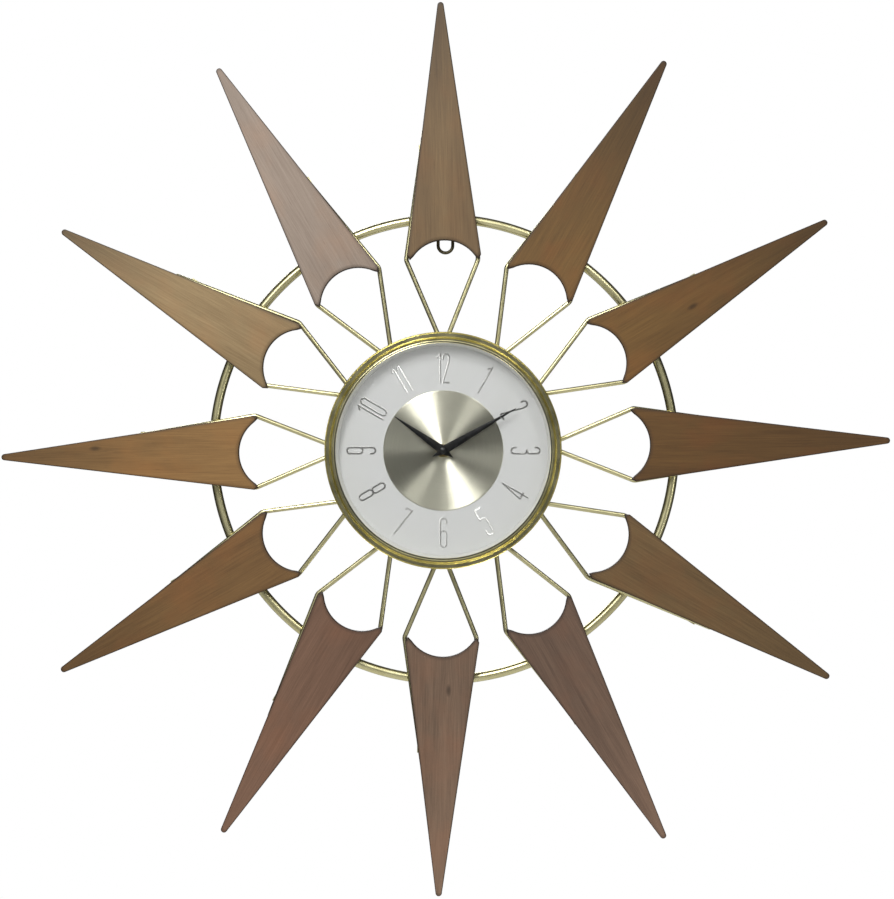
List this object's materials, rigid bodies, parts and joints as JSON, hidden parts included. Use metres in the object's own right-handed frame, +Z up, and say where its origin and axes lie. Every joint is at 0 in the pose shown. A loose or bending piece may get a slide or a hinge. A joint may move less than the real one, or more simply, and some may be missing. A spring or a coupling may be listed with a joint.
{
  "type": "sunburst wall clock",
  "caption": "Round quartz wall clock with a two-bead gold bezel and tapered wooden rays on bent gold wires, tied together by an outer ring.",
  "frame": {"origin": "point where the nail bears, under the top of the outer ring inside the hanging loop, on the wall plane; the hands turn about an axis 196.4 mm below it", "axes": "+Z up, -Y out of the wall towards the viewer, +X to the viewer's right"},
  "size_m": [0.7618, 0.0376, 0.7666],
  "materials": {
    "wood": "stained wood veneer, satin, weathered grey-brown to walnut",
    "gold_metal": "steel with a satin pale gold finish",
    "dark_wire": "steel wire with a dark antique finish",
    "bezel_metal": "spun steel with a polished pale gold finish",
    "surround_metal": "pressed steel, painted pale grey",
    "screw_steel": "zinc plated",
    "pan_steel": "black painted sheet steel",
    "lens_glass": "clear flat glass",
    "rubber": "black rubber",
    "dial_face": "pale grey printed card, matte",
    "spun_disc": "circular brushed with a champagne tint",
    "numeral_foil": "bright silver foil",
    "hand_black": "gloss black",
    "brass": "turned brass",
    "case_plastic": "black moulded plastic",
    "plate_plastic": "natural moulded plastic",
    "wheel_plastic": "natural acetal",
    "knob_plastic": "black moulded plastic",
    "rotor_magnet": "bonded magnet",
    "stator_steel": "punched silicon steel",
    "coil_copper": "enamelled copper wire",
    "board": "green laminate",
    "battery_jacket": "plain lacquered steel",
    "contact_steel": "nickel plated spring strip"
  },
  "bodies": {
    "clock_frame": {"blade_01": "wood", "ray_wire_01": "gold_metal", "blade_02": "wood", "ray_wire_02": "gold_metal", "blade_03": "wood", "ray_wire_03": "gold_metal", "blade_04": "wood", "ray_wire_04": "gold_metal", "blade_05": "wood", "ray_wire_05": "gold_metal", "blade_06": "wood", "ray_wire_06": "gold_metal", "blade_07": "wood", "ray_wire_07": "gold_metal", "blade_08": "wood", "ray_wire_08": "gold_metal", "blade_09": "wood", "ray_wire_09": "gold_metal", "blade_10": "wood", "ray_wire_10": "gold_metal", "blade_11": "wood", "ray_wire_11": "gold_metal", "blade_12": "wood", "ray_wire_12": "gold_metal", "outer_ring": "gold_metal", "hanging_loop": "dark_wire", "blade_straps": "gold_metal", "blade_screws": "screw_steel", "case_pan": "pan_steel", "bezel": "bezel_metal", "lens": "lens_glass", "lens_gasket": "rubber", "dial_surround": "surround_metal", "dial_plate": "pan_steel", "dial": "dial_face", "centre_disc": "spun_disc", "numerals": "numeral_foil", "bushing": "brass", "bushing_nut": "brass", "rubber_washer": "rubber", "movement_case": "case_plastic", "movement_cover": "case_plastic", "middle_plate": "plate_plastic", "stator": "stator_steel", "coil": "coil_copper", "circuit_board": "board", "battery": "battery_jacket", "battery_contacts": "contact_steel"},
    "minute_set": {"minute_arbor": "brass", "minute_hand": "hand_black", "hand_nut": "hand_black"},
    "hour_set": {"hour_wheel": "wheel_plastic", "hour_hand": "hand_black"},
    "motion_set": {"motion_wheel": "wheel_plastic"},
    "knob_set": {"setting_knob": "knob_plastic"},
    "rotor_set": {"rotor": "rotor_magnet"},
    "intermediate_set": {"intermediate_wheel": "wheel_plastic"},
    "seconds_set": {"seconds_wheel": "wheel_plastic"},
    "third_set": {"third_wheel": "wheel_plastic"},
    "centre_set": {"centre_wheel": "wheel_plastic"}
  },
  "joints": [
    {"name": "minute_turn", "type": "hinge", "parent": "clock_frame", "child": "minute_set", "pos_m": [0, -0.01, -0.1964], "axis": [0, 1, 0], "continuous": true},
    {"name": "hour_turn", "type": "hinge", "parent": "clock_frame", "child": "hour_set", "pos_m": [0, -0.01, -0.1964], "axis": [0, 1, 0], "continuous": true},
    {"name": "motion_turn", "type": "hinge", "parent": "clock_frame", "child": "motion_set", "pos_m": [0.0048, -0.01, -0.18809], "axis": [0, 1, 0], "continuous": true},
    {"name": "knob_turn", "type": "hinge", "parent": "clock_frame", "child": "knob_set", "pos_m": [-0.00255, -0.01, -0.18192], "axis": [0, 1, 0], "continuous": true},
    {"name": "rotor_turn", "type": "hinge", "parent": "clock_frame", "child": "rotor_set", "pos_m": [0.01129, -0.01, -0.18584], "axis": [0, 1, 0], "continuous": true},
    {"name": "intermediate_turn", "type": "hinge", "parent": "clock_frame", "child": "intermediate_set", "pos_m": [0.00779, -0.01, -0.1919], "axis": [0, 1, 0], "continuous": true},
    {"name": "seconds_turn", "type": "hinge", "parent": "clock_frame", "child": "seconds_set", "pos_m": [0, -0.01, -0.1964], "axis": [0, 1, 0], "continuous": true},
    {"name": "third_turn", "type": "hinge", "parent": "clock_frame", "child": "third_set", "pos_m": [-0.00795, -0.01, -0.19181], "axis": [0, 1, 0], "continuous": true},
    {"name": "centre_turn", "type": "hinge", "parent": "clock_frame", "child": "centre_set", "pos_m": [0, -0.01, -0.1964], "axis": [0, 1, 0], "continuous": true}
  ],
  "couplings": [
    {"joint": "motion_turn", "follows": "minute_turn", "ratio": -0.33333},
    {"joint": "hour_turn", "follows": "minute_turn", "ratio": 0.083333},
    {"joint": "knob_turn", "follows": "minute_turn", "ratio": 1},
    {"joint": "intermediate_turn", "follows": "rotor_turn", "ratio": -0.16667},
    {"joint": "seconds_turn", "follows": "rotor_turn", "ratio": 0.033333},
    {"joint": "third_turn", "follows": "rotor_turn", "ratio": -0.0044444},
    {"joint": "centre_turn", "follows": "rotor_turn", "ratio": 0.00055556}
  ]
}
